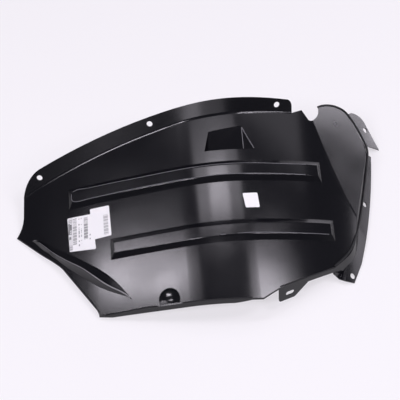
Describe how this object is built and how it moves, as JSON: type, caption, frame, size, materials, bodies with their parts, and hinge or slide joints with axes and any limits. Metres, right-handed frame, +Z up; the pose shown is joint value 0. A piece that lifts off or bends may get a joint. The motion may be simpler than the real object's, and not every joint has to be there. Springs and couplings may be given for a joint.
{
  "type": "wheel arch liner",
  "caption": "Curved plastic shell that lines a vehicle's wheel arch, with a turned-up lip, stepped end wall with a brim, raised ribs, clip holes and stuck-on labels",
  "frame": {"origin": "middle of the underside of the box around the part, on the floor it rests on", "axes": "X along the arch towards the end wall, Y along the axle towards the turned-up lip, Z up, with the part leaned onto its three lowest points"},
  "size_m": [0.6658, 0.3854, 0.1835],
  "materials": {
    "shell": "satin black moulded plastic",
    "label": "white coated paper"
  },
  "bodies": {
    "root": {"liner_shell": "shell", "paper_label_large": "label", "paper_label_small": "label", "square_label": "label"}
  },
  "joints": []
}
